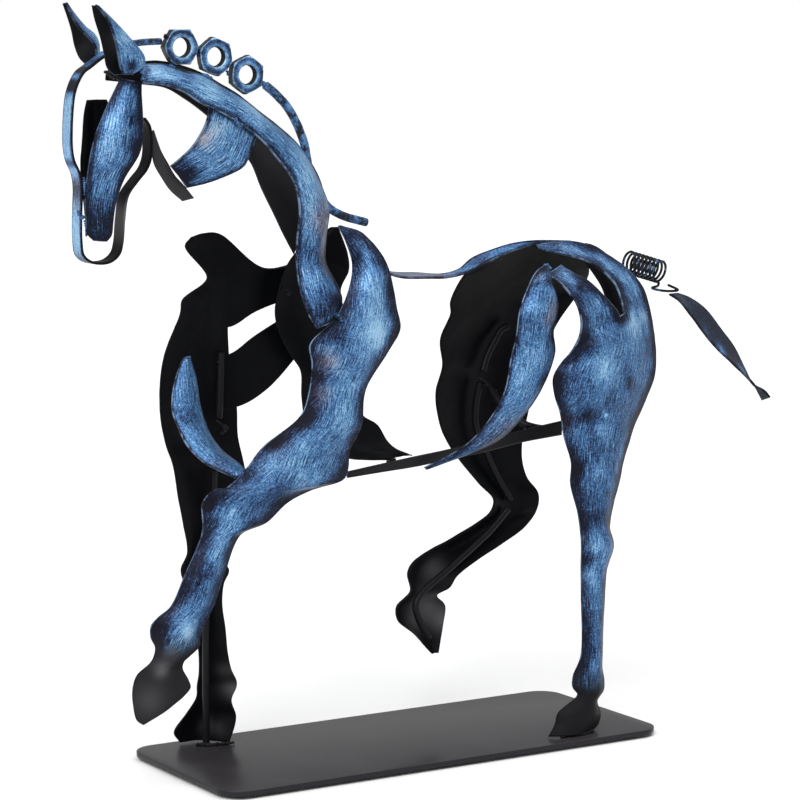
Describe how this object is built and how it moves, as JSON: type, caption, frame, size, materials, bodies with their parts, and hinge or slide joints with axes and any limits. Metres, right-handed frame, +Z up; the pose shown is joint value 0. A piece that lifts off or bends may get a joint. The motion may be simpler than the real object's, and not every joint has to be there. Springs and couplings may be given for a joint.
{
  "type": "metal horse sculpture",
  "caption": "Sculpture of a prancing horse welded from bent sheet steel, rods, nuts and a spring tail, standing on a flat plate with rubber pads.",
  "frame": {"origin": "middle of the whole outline in plan, at the floor under the rubber pads", "axes": "+X towards the horse's tail, +Y towards its right side, +Z up"},
  "size_m": [0.3931, 0.1, 0.3529],
  "materials": {
    "blue_patina": "heat-blued sheet steel under clear lacquer, brushed, with dark edges and worn light rims",
    "black_paint": "satin black paint on sheet steel",
    "dark_steel": "dark lacquered steel rod, wire, bar and nuts, touched with blue",
    "rubber": "black rubber, matt"
  },
  "bodies": {
    "root": {"base_plate": "black_paint", "foot_pad_front_near": "rubber", "foot_pad_front_far": "rubber", "foot_pad_rear_near": "rubber", "foot_pad_rear_far": "rubber", "near_foreleg": "blue_patina", "far_foreleg": "black_paint", "far_shoulder": "black_paint", "chest_strip": "blue_patina", "near_crest": "blue_patina", "far_crest": "black_paint", "throat_flap": "blue_patina", "throat_bar": "dark_steel", "head_band": "blue_patina", "near_cheek": "blue_patina", "far_cheek": "black_paint", "near_ear": "blue_patina", "far_ear": "blue_patina", "mane_rod_front": "dark_steel", "mane_rod_rear": "dark_steel", "mane_nut_1": "dark_steel", "mane_nut_2": "dark_steel", "mane_nut_3": "dark_steel", "back_strip": "blue_patina", "near_hind_leg": "blue_patina", "far_hind_leg": "black_paint", "rump_strip": "black_paint", "near_flank": "blue_patina", "belly_bar": "dark_steel", "belly_rod": "dark_steel", "far_foreleg_rod_upper": "dark_steel", "far_foreleg_rod_lower": "dark_steel", "far_hind_rod_upper": "dark_steel", "far_hind_rod_middle": "dark_steel", "far_hind_rod_lower": "dark_steel", "tail_spring": "dark_steel", "tail_ribbon": "blue_patina"}
  },
  "joints": []
}
